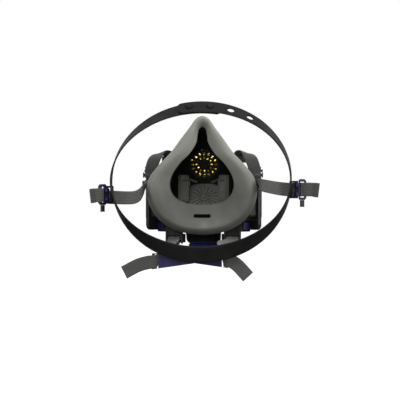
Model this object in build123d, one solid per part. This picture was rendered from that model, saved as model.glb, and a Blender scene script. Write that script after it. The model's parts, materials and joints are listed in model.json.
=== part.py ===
from build123d import *
import math
import os

# Half facepiece respirator: a soft face seal on a rigid front body with two side ports for
# clip-on filters, a speaking diaphragm, inhalation and exhalation valves, and a strap harness.
#
# Frame: millimetres. The origin is the middle of the face seal's opening. +Z is up, +Y points
# towards the wearer's face, -Y is the outer front. +X is the wearer's left.

# ---------------------------------------------------------------- driving dimensions (mm)
SEAL_WALL = 2.2             # silicone thickness of the cup and the in-turned flange
SEAL_LIP = 1.1              # thickness at the edge of the opening
SEAL_ROOT_Y = -26.0         # plane where the cup meets the front body
SEAL_WAIST = 2.0            # how far the cup's side curves in between rim and root
LIP_DROP = 11.0             # how far the edge of the opening lies below the crest of the rim
CHIN_SLOT = (17.0, 3.6)     # slot in the chin part of the flange
CHIN_SLOT_Z = -41.0

SHELL_WALL = 2.4            # front body moulding
CLEARANCE = 0.3             # gap between parts that are fitted together

DIAPHRAGM_CENTRE = (0, -50, 14)
DIAPHRAGM_TILT = 25         # degrees, the upper front leans back towards the nose
DIAPHRAGM_R = 16.0
BOSS_R = 20.0

VALVE_CENTRE = (0, -50, -23.4)
VALVE_TILT = 40             # degrees, the lower front slopes back under the chin
VALVE_SIZE = (38.0, 36.0)   # exhalation flap
VALVE_CORNER = 13.0
VALVE_THICK = 1.2

PORT_CENTRE = (45, -45)     # x, y of the middle of the left filter port's inner face
PORT_YAW = 55               # degrees that the port face turns from straight ahead
PORT_PLATE = (40.0, 60.0, 4.0)
PORT_PLATE_Z = -26.0        # height of the middle of the plate
PORT_Z = -23.0              # height of the middle of the two bores
PORT_BORE_R = 8.0
PORT_SPACING = 24.0
PORT_COLLAR = (22.0, 44.0)  # raised collar round the two bores
PORT_BOSS = 3.0             # height of the collar
DUCT_TOP, DUCT_BOTTOM = 4.0, -44.0
INLET_OFFSET = -6.0         # along the port face, from its middle to the inhalation valve
INLET_DEPTH = 23.0          # from the port face to the inhalation seat
INLET_FRAME = (12.4, -27.0, 1.0)    # width, bottom and top of the inhalation seat
LATCH_TRAVEL = 2.4
CATCH = (10.0, -53.2, 2.4)  # width, bottom and height of the latch's catch

STRAP_WIDTH = 12.5
STRAP_THICK = 1.4
BAR_R = 1.6                 # strap bars
SLEEVE_GAP = 0.4            # strap loop to bar
GUIDE_X = 53.2              # middle of the side guides
GUIDE_PIVOT = (-13.0, -8.0)     # y, z of the bar that the harness swings on
GUIDE_UPPER = (-18.5, 0.5)      # y, z of the bar that holds the front strap
HANGER_X = 35.8
HANGER_BAR = (-46.0, 18.0)      # y, z of the yoke's strap bars
LOWER_X = 30.0
LOWER_BAR = (-28.0, -66.0)      # y, z of the neck strap's bars

CRADLE_CENTRE = (-2.7, 80.0, -6.7)
CRADLE_A, CRADLE_B = 82.0, 67.3     # half width and half height of the head cradle
CRADLE_LEAN = 12.0          # crown band sits this far forward, nape band this far back
BAND_WIDTH = 16.0
BAND_THICK = 1.5
BAND_OVERLAP_STEP = 0.85    # crown bands lie this far in and out of the cradle's surface
SNAP_PITCH = 13.6           # degrees between snap holes round the crown
SNAP_FIRST = 82.2
SNAP_HOLE_R = 3.4
CROWN_LEFT_END, CROWN_RIGHT_END = 103.0, 75.0
EAR_LEFT = dict(origin=(79.3, 74.0, -20.0), yaw=43.0)
EAR_RIGHT = dict(origin=(84.7, 74.0, -15.5), yaw=8.0)      # mirrored to -X

CLASP_Y = 64.0
CLASP_THICK = 4.0


# ---------------------------------------------------------------- helpers
def rounded_box(x, y, z, radius):
    """A box with rounded upright edges, centred on the local origin."""
    return extrude(RectangleRounded(x, y, radius), z / 2, both=True)


def x_bar(x0, x1, y, z, radius=BAR_R):
    """A round bar along X."""
    length = x1 - x0
    return Pos((x0 + x1) / 2, y, z) * Rot(0, 90, 0) * Cylinder(radius, length)


def x_sleeve(x, y, z, width=STRAP_WIDTH):
    """The loop that a strap's end makes round a bar along X."""
    inner = BAR_R + SLEEVE_GAP
    return Pos(x, y, z) * Rot(0, 90, 0) * (
        Cylinder(inner + STRAP_THICK, width) - Cylinder(inner, width + 2)
    )


def plate(x0, x1, y0, y1, z0, z1):
    """An axis-aligned box from its limits."""
    return Pos((x0 + x1) / 2, (y0 + y1) / 2, (z0 + z1) / 2) * Box(x1 - x0, y1 - y0, z1 - z0)


def resample(stations, spacing):
    """Evenly spaced (point, across) stations on a smooth curve through the given ones."""
    rows = [Vector(*p) for p, _ in stations], [Vector(*a).normalized() for _, a in stations]
    points = rows[0]
    knots = [0.0]
    for a, b in zip(points, points[1:]):
        knots.append(knots[-1] + (b - a).length)
    last = len(points) - 1

    def slope(row, i):
        lo, hi = max(i - 1, 0), min(i + 1, last)
        return (row[hi] - row[lo]) * (1 / (knots[hi] - knots[lo]))

    def value(row, i, t, span):
        h1, h2 = 2 * t**3 - 3 * t**2 + 1, t**3 - 2 * t**2 + t
        h3, h4 = -2 * t**3 + 3 * t**2, t**3 - t**2
        return (row[i] * h1 + slope(row, i) * (h2 * span)
                + row[i + 1] * h3 + slope(row, i + 1) * (h4 * span))

    count = max(4, round(knots[-1] / spacing))
    result = []
    for k in range(count + 1):
        along = knots[-1] * k / count
        i = max(j for j in range(last) if knots[j] <= along + 1e-9)
        span = knots[i + 1] - knots[i]
        t = (along - knots[i]) / span
        result.append((tuple(value(rows[0], i, t, span)), tuple(value(rows[1], i, t, span))))
    return result


def ribbon(stations, width=STRAP_WIDTH, thick=STRAP_THICK, spacing=4.0):
    """A flat strap lofted through stations of (point, direction across the strap)."""
    stations = resample(stations, spacing)
    points = [Vector(*p) for p, _ in stations]
    wires = []
    for i, (_, across) in enumerate(stations):
        before, after = points[max(i - 1, 0)], points[min(i + 1, len(points) - 1)]
        tangent = (after - before).normalized()
        side = Vector(*across)
        side = (side - tangent * side.dot(tangent)).normalized()
        normal = tangent.cross(side)
        half_w, half_t = side * (width / 2), normal * (thick / 2)
        corners = [
            points[i] + half_w + half_t,
            points[i] - half_w + half_t,
            points[i] - half_w - half_t,
            points[i] + half_w - half_t,
        ]
        wires.append(Wire.make_polygon(corners, close=True))
    return Solid.make_loft(wires)


def to_right(shape):
    """The wearer's right-hand copy of a left-hand shape."""
    return mirror(shape, Plane.YZ)


def save(name, shape):
    """Writes one sub-part, as one solid or a group of separate solids."""
    solids = shape.solids()
    whole = solids[0] if len(solids) == 1 else Compound(children=list(solids))
    export_step(whole, f"parts/{name}.step")


# ---------------------------------------------------------------- face seal
# Left half, from the nose to the chin: rim x, rim z, rim y, opening x, opening z,
# root x, root z, and the radius of the rolled rim.
SEAL_STATIONS = [
    (0.0, 59.5, -1.0, 0.0, 48.5, 0.0, 51.5, 3.5),
    (6.5, 56.5, -0.5, 3.2, 46.5, 5.4, 50.0, 3.5),
    (12.5, 48.0, 1.0, 4.6, 41.0, 10.2, 44.0, 4.0),
    (21.0, 36.5, 4.0, 6.0, 32.5, 16.0, 35.5, 4.5),
    (31.0, 22.5, 8.0, 12.5, 21.5, 23.5, 25.0, 5.0),
    (42.5, 10.0, 11.5, 22.5, 11.0, 31.5, 13.0, 5.5),
    (52.0, -3.0, 13.5, 29.5, 0.0, 37.0, 0.0, 6.5),
    (55.0, -17.0, 14.0, 31.8, -9.5, 39.0, -14.0, 7.5),
    (51.0, -32.5, 12.0, 29.5, -18.5, 37.0, -27.5, 8.5),
    (40.5, -47.0, 8.0, 23.0, -25.0, 30.5, -39.0, 9.0),
    (23.0, -56.5, 4.0, 12.5, -28.6, 17.5, -46.5, 9.0),
    (0.0, -60.0, 2.0, 0.0, -29.4, 0.0, -49.0, 9.0),
]


def seal_section(rx, rz, ry, ox, oz, fx, fz, roll):
    """The closed profile of the seal where it crosses one station."""
    rim, hole = Vector(rx, ry, rz), Vector(ox, ry, oz)
    inward = (hole - rim).normalized()
    reach = (hole - rim).length
    up = Vector(0, 1, 0)
    root = Vector(fx, SEAL_ROOT_Y, fz)

    def at(u, v):
        return rim + inward * u + up * v

    diagonal = roll * (1 - math.cos(math.pi / 4))
    knee = at(0, -roll)
    flange = reach - roll
    outer = [
        at(reach, -LIP_DROP),
        at(roll + flange * 0.62, -LIP_DROP * 0.52),
        at(roll + flange * 0.28, -LIP_DROP * 0.16),
        at(roll, 0),
        at(diagonal, -diagonal),
        knee,
        knee + (root - knee) * 0.45 + inward * SEAL_WAIST,
        root,
    ]
    wall = SEAL_WALL
    inner = [
        root + inward * wall,
        knee + (root - knee) * 0.45 + inward * (wall + SEAL_WAIST),
        knee + inward * wall + up * -0.5,
        at(diagonal + wall * 0.7, -diagonal - wall * 0.7),
        at(roll, -wall),
        at(roll + flange * 0.28, -LIP_DROP * 0.16 - wall),
        at(roll + flange * 0.62, -LIP_DROP * 0.52 - wall * 0.8),
        at(reach - 0.2, -LIP_DROP - SEAL_LIP),
    ]
    return Wire.make_polygon(outer + inner, close=True)


def opposite(station):
    """The same station on the wearer's right."""
    rx, rz, ry, ox, oz, fx, fz, roll = station
    return -rx, rz, ry, -ox, oz, -fx, fz, roll


def face_seal():
    """The silicone cup with its rolled rim and in-turned flange."""
    rows = [opposite(SEAL_STATIONS[1]), *SEAL_STATIONS, opposite(SEAL_STATIONS[-2])]
    half = Solid.make_loft([seal_section(*s) for s in rows]) & plate(0, 80, -40, 30, -80, 80)
    whole = half + to_right(half)
    slot = plate(-CHIN_SLOT[0] / 2, CHIN_SLOT[0] / 2, -20, 12,
                 CHIN_SLOT_Z - CHIN_SLOT[1] / 2, CHIN_SLOT_Z + CHIN_SLOT[1] / 2)
    return whole - slot


# ---------------------------------------------------------------- tilted work planes
def front_plane(centre, tilt):
    """A plane on the front body whose normal points outward, tilted up by tilt degrees."""
    angle = math.radians(tilt)
    return Plane(origin=centre, x_dir=(1, 0, 0), z_dir=(0, -math.cos(angle), math.sin(angle)))


DIAPHRAGM = front_plane(DIAPHRAGM_CENTRE, DIAPHRAGM_TILT)
VALVE = front_plane(VALVE_CENTRE, -VALVE_TILT)
YAW = math.radians(PORT_YAW)
# Left port: local x runs back along the port face, local y is down, local z points outward.
PORT = Plane(
    origin=(PORT_CENTRE[0], PORT_CENTRE[1], 0),
    x_dir=(math.cos(YAW), math.sin(YAW), 0),
    z_dir=(math.sin(YAW), -math.cos(YAW), 0),
)


def on_port(a0, a1, z0, z1, c0, c1, corner=0.0):
    """A box in the left port's frame: a along the face, z upright, c outward."""
    size_a, size_z, size_c = a1 - a0, z1 - z0, c1 - c0
    sketch = RectangleRounded(size_a, size_z, corner) if corner else Rectangle(size_a, size_z)
    block = extrude(sketch, size_c / 2, both=True)
    return PORT * Pos((a0 + a1) / 2, PORT_UP * (z0 + z1) / 2, (c0 + c1) / 2) * block


PORT_UP = round(PORT.y_dir.Z)       # +1 or -1: which way the port plane's local y points


# ---------------------------------------------------------------- front body
# Outlines of the front shell at several depths: y, then left-half points of x, z.
SHELL_SECTIONS = [
    (-34.0, [(0, 42), (12, 35), (23, 22), (31.5, 7), (36.5, -12), (34.5, -27), (26, -37.5), (0, -43.8)]),
    (-45.0, [(0, 27), (10, 25), (18, 19), (27, 7), (31.5, -9), (30.5, -20), (20, -28.5), (0, -30.8)]),
    (-54.0, [(0, 7.5), (9, 7), (16, 4.5), (22, 0), (24, -7), (21, -15), (12, -19.4), (0, -20)]),
    (-60.5, [(0, -6.3), (4, -6.5), (7, -7), (9.5, -8), (10.5, -9.4), (9, -11.2), (5, -12.2), (0, -12.5)]),
]
SEAT_Y = -27.0              # the shell's straight rim runs from here to its open end
RIM_Y = -22.5
SHELL_GAP = 0.25            # clearance of the parts that lie on the outside of the shell


def outline(y, half, shrink=0.0):
    """A closed smooth outline in an XZ plane, pulled in by shrink."""
    middle = (half[0][1] + half[-1][1]) / 2
    points = []
    for x, z in half:
        size = math.hypot(x, z - middle)
        keep = (size - shrink) / size
        points.append((x * keep, middle + (z - middle) * keep))
    ring = points + [(-x, z) for x, z in points[-2:0:-1]]
    return Wire([Spline([(x, y, z) for x, z in ring], periodic=True)])


def seat_outline(y, shrink):
    """The shell's rim, which fits inside the seal's root."""
    half = []
    for rx, rz, _, ox, oz, fx, fz, _ in SEAL_STATIONS:
        reach = math.hypot(ox - rx, oz - rz)
        inset = SEAL_WALL + CLEARANCE + 0.15 + shrink
        half.append((fx + (ox - rx) / reach * inset, fz + (oz - rz) / reach * inset))
    ring = half + [(-x, z) for x, z in half[-2:0:-1]]
    return Wire([Spline([(x, y, z) for x, z in ring], periodic=True)])


def shell_loft(shrink, y_shift, rim_y=RIM_Y):
    """The shell's outside, pulled in by shrink and moved y_shift towards the wearer."""
    seat = seat_outline(SEAT_Y + y_shift, shrink)
    rim = Solid.make_loft([seat_outline(rim_y, shrink), seat], ruled=True)
    bowl = Solid.make_loft([seat] + [outline(y + y_shift, half, shrink) for y, half in SHELL_SECTIONS])
    return rim + bowl


def duct_block(grow=0.0):
    """The outside of the left duct, between the shell and the port plate."""
    block = on_port(-17 - grow, 17 + grow, DUCT_BOTTOM - grow, DUCT_TOP + grow, -16, 0, corner=4)
    return block - plate(20, 80, SEAL_ROOT_Y - CLEARANCE, 0, -60, 20)


def outer_envelope():
    """What the parts mounted on the outside must stay clear of."""
    ducts = duct_block(0.05)
    seats = DIAPHRAGM * Pos(0, 0, -3) * Cylinder(BOSS_R + SHELL_GAP, 16.2)
    seats += VALVE * Pos(0, 0, -2) * rounded_box(VALVE_SIZE[0] + 8.6, VALVE_SIZE[1] + 8.6, 7.6, 15)
    return shell_loft(-SHELL_GAP, -SHELL_GAP) + ducts + to_right(ducts) + seats


def front_body():
    """The rigid bowl with its two side ducts and the seats for diaphragm and valve."""
    inlet_w, inlet_bottom, inlet_top = INLET_FRAME
    a0, a1 = INLET_OFFSET - inlet_w / 2, INLET_OFFSET + inlet_w / 2
    bowl = shell_loft(0, 0)
    duct = duct_block()
    boss = DIAPHRAGM * Cylinder(BOSS_R, 10)
    frame = VALVE * Pos(0, 0, -1.5) * rounded_box(VALVE_SIZE[0] + 8, VALVE_SIZE[1] + 8, 6, 15)
    body = bowl + duct + to_right(duct) + boss + frame
    body -= shell_loft(SHELL_WALL, SHELL_WALL, RIM_Y + 1)
    neck = on_port(a0, a1, inlet_bottom, inlet_top, -INLET_DEPTH, -8, corner=2)
    throat = on_port(a0 + 2, a1 - 2, inlet_bottom + 2, inlet_top - 2, -INLET_DEPTH - 1, 1, corner=2)
    plenum = on_port(-12.5, 12.5, DUCT_BOTTOM + 4, DUCT_TOP - 4, -8, 1, corner=3)
    seat_room = on_port(a0 - 0.6, a1 + 0.6, inlet_bottom - 0.6, inlet_top + 0.6,
                        -INLET_DEPTH - 7, -INLET_DEPTH, corner=2)
    for shape in (neck, to_right(neck)):
        body += shape
    for shape in (throat, plenum, seat_room):
        body -= shape + to_right(shape)
    body -= DIAPHRAGM * Cylinder(DIAPHRAGM_R + CLEARANCE, 30)
    body -= VALVE * Pos(0, 0, -2) * rounded_box(
        VALVE_SIZE[0] + 3, VALVE_SIZE[1] + 3, 14, VALVE_CORNER + 1.5)
    return max(body.solids(), key=lambda s: s.volume)


# ---------------------------------------------------------------- speaking diaphragm
def slotted_disc(radius, thick, rings):
    """A disc with rings of radial slots: each ring is (radius, count, length, width)."""
    disc = Cylinder(radius, thick)
    for ring_r, count, length, width in rings:
        slot = extrude(SlotOverall(length, width), thick, both=True)
        for i in range(count):
            disc -= Rot(0, 0, 360 * i / count) * Pos(ring_r, 0, 0) * slot
    return disc


def diaphragm_grille():
    """The inner grille that faces the wearer's mouth."""
    rings = [(7.7, 12, 3.4, 1.7), (12.2, 16, 4.0, 2.0)]
    hub = Pos(0, 0, -1.2) * Cylinder(4.4, 1.2)
    return DIAPHRAGM * Pos(0, 0, -3.6) * (slotted_disc(DIAPHRAGM_R, 1.6, rings) + hub)


def diaphragm_film():
    return DIAPHRAGM * Pos(0, 0, -2.4) * Cylinder(DIAPHRAGM_R - 0.2, 0.3)


def diaphragm_retainer():
    """The ring that clamps the film against the grille."""
    ring = Cylinder(DIAPHRAGM_R, 5) - Cylinder(DIAPHRAGM_R - 2.2, 7)
    return DIAPHRAGM * Pos(0, 0, 0.4) * ring


def diaphragm_cover():
    """The outer cap with its sound slots."""
    rings = [(5.0, 8, 4.2, 1.6), (11.0, 16, 5.0, 1.6)]
    cap = slotted_disc(BOSS_R, 2.2, rings)
    skirt = Pos(0, 0, -1.8) * (Cylinder(DIAPHRAGM_R - 0.2, 2.0) - Cylinder(DIAPHRAGM_R - 2, 3))
    rim = fillet(cap.edges().filter_by(GeomType.CIRCLE).sort_by(SortBy.RADIUS)[-1], 1.0)
    return DIAPHRAGM * Pos(0, 0, 6.3) * (rim + skirt)


# ---------------------------------------------------------------- exhalation valve
def exhalation_seat():
    """The valve seat: a rounded plate with fine radial slots round a hub."""
    w, h = VALVE_SIZE
    plate_body = rounded_box(w + 2.4, h + 2.4, 1.8, VALVE_CORNER + 1)
    slot = Pos(9.2, 0, 0) * extrude(SlotOverall(11.6, 1.0), 2, both=True)
    for i in range(18):
        plate_body -= Rot(0, 0, 10 + 20 * i) * slot
    return VALVE * Pos(0, 0, -0.9) * (plate_body - Cylinder(1.5, 5))


def exhalation_flap():
    """The flexible flap with its pull-through button."""
    w, h = VALVE_SIZE
    flap = rounded_box(w - 0.6, h - 0.6, VALVE_THICK, VALVE_CORNER - 0.3)
    stem = Pos(0, 0, -2.0) * Cylinder(1.2, 4.0)
    button = Pos(0, 0, -4.6) * Sphere(1.45)
    return VALVE * Pos(0, 0, 0.3 + VALVE_THICK / 2) * (flap + stem + button)


def valve_cover():
    """The outer cover of the exhalation valve, which opens towards the chin."""
    dome = Pos(0, -2, 11) * rounded_box(50, 48, 14, 12)
    dome = fillet(dome.faces().sort_by(Axis.Z)[-1].edges(), 4)
    chute = Pos(0, -30, 12) * rounded_box(36, 36, 12, 7)
    chute = fillet(chute.faces().sort_by(Axis.Z)[-1].edges(), 3)
    room = Pos(0, -2, 8.8) * rounded_box(45.6, 43.6, 14, 9.8)
    room += Pos(0, -34, 10.0) * Box(31.6, 44, 11.6)
    cover = VALVE * (dome + chute - room)
    for i in range(5):
        slot = extrude(SlotOverall(26, 2.2), 24, both=True)
        cover -= VALVE * Pos(0, 12 - 5.2 * i, 0) * slot
    cover -= outer_envelope()
    cover -= DIAPHRAGM * Cylinder(BOSS_R + 5, 30)
    return max(cover.solids(), key=lambda s: s.volume)


def cover_tab():
    """The coloured pull tab at the open end of the valve cover."""
    tab = extrude(RectangleRounded(30, 9, 3), 1.6, both=True)
    tab += Pos(0, 2.8, -2.0) * Box(24, 1.6, 5.0)
    for i in range(5):
        tab += Pos(8 - 4 * i, -1.6, 1.8) * Box(1.4, 4.4, 1.0)
    return VALVE * Pos(0, -52.8, 15.0) * tab


# ---------------------------------------------------------------- filter ports
def port_plate():
    """The connection plate: two bores in a raised collar and a slot for the latch."""
    a, z, c = PORT_PLATE
    slab = on_port(-a / 2, a / 2, PORT_PLATE_Z - z / 2, PORT_PLATE_Z + z / 2, 0, c, corner=6)
    w, h = PORT_COLLAR
    collar = on_port(-w / 2, w / 2, PORT_Z - h / 2, PORT_Z + h / 2, c, c + PORT_BOSS, w / 2 - 0.1)
    whole = slab + collar
    for sign in (1, -1):
        centre = PORT_UP * (PORT_Z + sign * PORT_SPACING / 2)
        whole -= PORT * Pos(0, centre, 0) * Cylinder(PORT_BORE_R, 40)
    width, bottom, height = CATCH
    whole -= on_port(-width / 2 - 0.6, width / 2 + 0.6, bottom - 0.5,
                     bottom + height + LATCH_TRAVEL + 0.4, -1, c + 1)
    for side in (-1, 1):
        edge = side * (a / 2 - 2.5)
        whole += on_port(edge - 1, edge + 1, PORT_Z - 20, PORT_Z + 20, c, c + 1.6)
    return whole


def port_gasket():
    """The coloured soft ring round the collar."""
    c = PORT_PLATE[2]
    w, h = PORT_COLLAR
    outer = on_port(-w / 2 - 2.5, w / 2 + 2.5, PORT_Z - h / 2 - 2.5, PORT_Z + h / 2 + 2.5,
                    c, c + 1.8, corner=w / 2 + 2.4)
    hole = on_port(-w / 2 - 0.1, w / 2 + 0.1, PORT_Z - h / 2 - 0.1, PORT_Z + h / 2 + 0.1,
                   c - 1, c + 3, corner=w / 2)
    return outer - hole


def port_latch():
    """The release button under the duct, with the catch that reaches through the plate."""
    button = on_port(-9, 7, -58, DUCT_BOTTOM - LATCH_TRAVEL - 0.2, -9, -0.4, corner=3)
    for i in range(4):
        groove = on_port(-9.5, 7.5, -56.6 + 2.2 * i, -55.8 + 2.2 * i, -9.6, -8.6)
        button -= groove
    width, bottom, height = CATCH
    catch = on_port(-width / 2, width / 2, bottom, bottom + height, -1, PORT_PLATE[2] + 3)
    return button + catch


# ---------------------------------------------------------------- inhalation valves
def inhalation_seat():
    """The deep frame at the inner end of each duct, with a grid behind the flap."""
    w, bottom, top = INLET_FRAME
    a, d = INLET_OFFSET, INLET_DEPTH
    middle = (bottom + top) / 2 - 2
    frame = on_port(a - w / 2, a + w / 2, bottom, top, -d - 4.4, -d, corner=2.4)
    frame -= on_port(a - w / 2 + 1.5, a + w / 2 - 1.5, bottom + 1.5, top - 5.5, -d - 5, -d + 1, 1.5)
    for z in (middle - 6, middle, middle + 6):
        frame += on_port(a - w / 2 + 1, a + w / 2 - 1, z - 0.5, z + 0.5, -d - 1.2, -d)
    return frame + on_port(a - 1.6, a + 1.6, middle - 1.6, middle + 1.6, -d - 1.6, -d, corner=1.5)


def inhalation_flap():
    """The flexible inlet flap, which lies in the frame on the grid."""
    w, bottom, top = INLET_FRAME
    a, d = INLET_OFFSET, INLET_DEPTH + 1.9
    middle = (bottom + top) / 2 - 2
    flap = on_port(a - w / 2 + 2, a + w / 2 - 2, bottom + 2, top - 6, -d - 0.8, -d, corner=1.2)
    return flap + on_port(a - 1.3, a + 1.3, middle - 1.3, middle + 1.3, -d - 1.4, -d, corner=1.2)


# ---------------------------------------------------------------- strap yoke and guides
def strap_yoke():
    """The ring round the diaphragm boss, with a strap hanger on each side."""
    ring = DIAPHRAGM * Pos(0, 0, 3.2) * Cylinder(24, 3)
    y, z = HANGER_BAR
    x0, x1 = HANGER_X - 7.0, HANGER_X + 7.0
    arm = plate(BOSS_R + 0.6, x1 + 1.6, y - 10, y - 7.4, z - 3.5, z + 3.5)
    cheeks = plate(x0 - 1.6, x0, y - 10, y + 2, z - 3, z + 3)
    cheeks += plate(x1, x1 + 1.6, y - 10, y + 2, z - 3, z + 3)
    hanger = arm + cheeks + x_bar(x0 - 1, x1 + 1, y, z)
    whole = ring + hanger + to_right(hanger) - outer_envelope()
    return max(whole.solids(), key=lambda s: s.volume)


def side_guide():
    """The bracket on top of each duct: two bars on one cheek, each with a collar at its free end."""
    x0, x1 = GUIDE_X - 6.8, GUIDE_X + 6.8
    pivot_y, pivot_z = GUIDE_PIVOT
    upper_y, upper_z = GUIDE_UPPER
    base = DUCT_TOP + 0.05
    foot = plate(x0 - 1.2, x1 + 1.2, -38, -29, base, base + 2.4)
    corners = [
        (-38, base), (-38, base + 2.4), (upper_y - 4, base + 2.4), (upper_y + 3.5, upper_z + 2),
        (pivot_y + 3.2, pivot_z + 1.5), (pivot_y + 3.2, pivot_z - 3.2), (pivot_y - 3, pivot_z - 3.2),
        (upper_y - 3.6, upper_z - 1.5), (upper_y - 3.6, base),
    ]
    cheek = extrude(Plane.YZ * make_face(Polyline(*corners, close=True)), 0.6, both=True)
    guide = foot + Pos(x0 - 0.6, 0, 0) * cheek
    for y, z in (GUIDE_PIVOT, GUIDE_UPPER):
        guide += x_bar(x0 - 0.8, x1 + 0.8, y, z) + x_bar(x1 + 0.1, x1 + 1.2, y, z, radius=2.7)
    return guide


def lower_guide():
    """The bracket under each duct that carries the neck strap."""
    x0, x1 = LOWER_X - 7.0, LOWER_X + 7.0
    y, z = LOWER_BAR
    foot = plate(x0 - 1.8, x1 + 1.8, y - 5, y + 0.8, z + 4.4, -34)
    guide = foot + x_bar(x0 - 1, x1 + 1, y, z)
    for x in (x0 - 0.9, x1 + 0.9):
        cheek = plate(x - 0.9, x + 0.9, y - 5, y + 4, z - 4, z + 10)
        guide += fillet(cheek.edges().filter_by(Axis.X).group_by(Axis.Z)[0], 3)
    guide -= outer_envelope()
    return max(guide.solids(), key=lambda s: s.volume)


# ---------------------------------------------------------------- head cradle
def cradle_frame(degrees, lift=0.0):
    """Point, tangent, across and normal of the head cradle's band at an angle."""
    t = math.radians(degrees)
    s, c = math.sin(t), math.cos(t)
    cx, cy, cz = CRADLE_CENTRE
    point = Vector(cx + CRADLE_A * c, cy - CRADLE_LEAN * s, cz + CRADLE_B * s)
    tangent = Vector(-CRADLE_A * s, -CRADLE_LEAN * c, CRADLE_B * c).normalized()
    radial = Vector(CRADLE_B * c, 0, CRADLE_A * s).normalized()
    tilt = math.radians(4 + (39 * s**1.5 if s > 0 else 64 * s**2))
    normal = radial * math.cos(tilt) + Vector(0, 1, 0) * math.sin(tilt)
    normal = (normal - tangent * normal.dot(tangent)).normalized()
    across = tangent.cross(normal)
    return point + normal * lift, across, normal


def cradle_band():
    """The whole band, from its left end over the crown, round the nape and back."""
    first, last = CROWN_LEFT_END, CROWN_RIGHT_END - 360
    count = 60
    stations = []
    for i in range(count + 1):
        degrees = first + (last - first) * i / count
        if degrees > -90:
            lift = -BAND_OVERLAP_STEP * min(1, max(0, degrees / 50))
        else:
            lift = BAND_OVERLAP_STEP * min(1, max(0, (-180 - degrees) / 50))
        point, across, _ = cradle_frame(degrees, lift)
        stations.append((tuple(point), tuple(across)))
    return ribbon(stations, BAND_WIDTH, BAND_THICK, spacing=9.0)


def snap(degrees, radius, length, lift=0.0):
    """A round pin or hole tool standing square to the band."""
    point, _, normal = cradle_frame(degrees, lift)
    return Plane(origin=point, z_dir=normal) * Cylinder(radius, length)


def ear(yaw, origin):
    """The tab on the cradle that the slider hangs on, built for the left side."""
    turn = Pos(*origin) * Rot(0, 0, yaw)
    tab = turn * (Pos(1.4, 0, 0) * Box(5.0, 2.6, 16) - Pos(3.0, 0, 0) * Box(3.6, 8, 12.2))
    rails = turn * (Pos(3.6, 0, 7.1) * Box(3.8, 2.6, 1.8) + Pos(3.6, 0, -7.1) * Box(3.8, 2.6, 1.8))
    pin = turn * Pos(5.5, 0, 0) * Cylinder(1.3, 16)
    return tab + rails + pin


def head_cradle():
    """The flexible band, snapped to length over the crown, with an ear on each side."""
    whole = cradle_band()
    for i in range(4):
        tool_lift = BAND_OVERLAP_STEP + 3.0
        whole -= snap(SNAP_FIRST + SNAP_PITCH * i, SNAP_HOLE_R, 6.0, tool_lift)
    for i in range(2):
        degrees = SNAP_FIRST + SNAP_PITCH * i
        whole += snap(degrees, SNAP_HOLE_R - 0.6, 3.0, 0.8)
        whole += snap(degrees, SNAP_HOLE_R - 0.4, 0.6, 2.3)
    whole += ear(**EAR_LEFT) + to_right(ear(**EAR_RIGHT))
    return max(whole.solids(), key=lambda s: s.volume)


# ---------------------------------------------------------------- sliders
def strap_slider():
    """The buckle that the strap threads, in its own frame: hinge at the origin, +x outward."""
    frame = Pos(5.0, 0, 0) * Rot(90, 0, 0) * rounded_box(6.4, 19, 3.0, 1.6)
    frame -= Pos(5.0, 0, 0) * Box(3.4, 8, 14.4)
    grip = Pos(7.6, -1.6, 0) * Cylinder(1.1, 16)
    buckle = frame + grip
    for z in (4.0, -4.0):
        buckle += Pos(0.6, 0, z) * Cylinder(2.7, 3.0)
    return buckle - Cylinder(1.4, 16)


def slider_pull():
    """The dark finger pull under the buckle, in the same frame."""
    return Pos(5.0, 0, -12.7) * rounded_box(4.0, 2.6, 6.2, 1.0)


def at_ear(shape, origin, yaw):
    """Puts a slider part on an ear's pin."""
    return Pos(*origin) * Rot(0, 0, yaw) * Pos(5.5, 0, 0) * shape


# ---------------------------------------------------------------- straps
def ear_point(origin, yaw, u, v, drop=0.0):
    """A point in an ear's frame: u outward, v towards the wearer."""
    a = math.radians(yaw)
    return (
        origin[0] + u * math.cos(a) - v * math.sin(a),
        origin[1] + u * math.sin(a) + v * math.cos(a),
        origin[2] - drop,
    )


UPRIGHT = (0, 0, -1)
THREADING = [(7.0, -3.4), (9.6, -2.6), (10.5, 0.0), (11.4, 2.6), (14.0, 3.6), (18.5, 4.0)]
REAR_LEFT = [
    ((GUIDE_X, GUIDE_PIVOT[0] + 2.2, GUIDE_PIVOT[1]), (1, 0, 0)),
    ((54.6, -5.5, -10.0), (0.85, 0, -0.5)),
    ((57.0, 1, -13.0), (0.4, 0, -0.92)),
    ((59.0, 9, -16.5), (0.1, 0, -1)),
    ((60.5, 19, -20.0), UPRIGHT),
    ((63.5, 36, -22.5), UPRIGHT),
    ((69.0, 53, -23.0), UPRIGHT),
    (ear_point(**EAR_LEFT, u=-5.0, v=-4.4, drop=2.6), UPRIGHT),
    (ear_point(**EAR_LEFT, u=2.0, v=-4.4, drop=2.2), UPRIGHT),
    *[(ear_point(**EAR_LEFT, u=u, v=v, drop=0.6), UPRIGHT) for u, v in THREADING],
    (ear_point(**EAR_LEFT, u=26.0, v=3.8, drop=1.5), UPRIGHT),
]
REAR_RIGHT = [
    ((GUIDE_X, GUIDE_PIVOT[0] + 2.2, GUIDE_PIVOT[1]), (1, 0, 0)),
    ((54.8, -5.5, -9.0), (0.8, 0, -0.6)),
    ((57.4, 1, -9.8), (0.3, 0, -0.95)),
    ((59.6, 8, -10.4), (0.1, 0, -1)),
    ((63.0, 20, -11.4), UPRIGHT),
    ((68.2, 38, -12.8), UPRIGHT),
    ((73.0, 54, -14.0), UPRIGHT),
    ((77.5, 65, -14.8), UPRIGHT),
    (ear_point(**EAR_RIGHT, u=-1.0, v=-4.8), UPRIGHT),
    *[(ear_point(**EAR_RIGHT, u=u, v=v), UPRIGHT) for u, v in THREADING],
    (ear_point(**EAR_RIGHT, u=26.0, v=3.8, drop=0.8), UPRIGHT),
]
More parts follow.
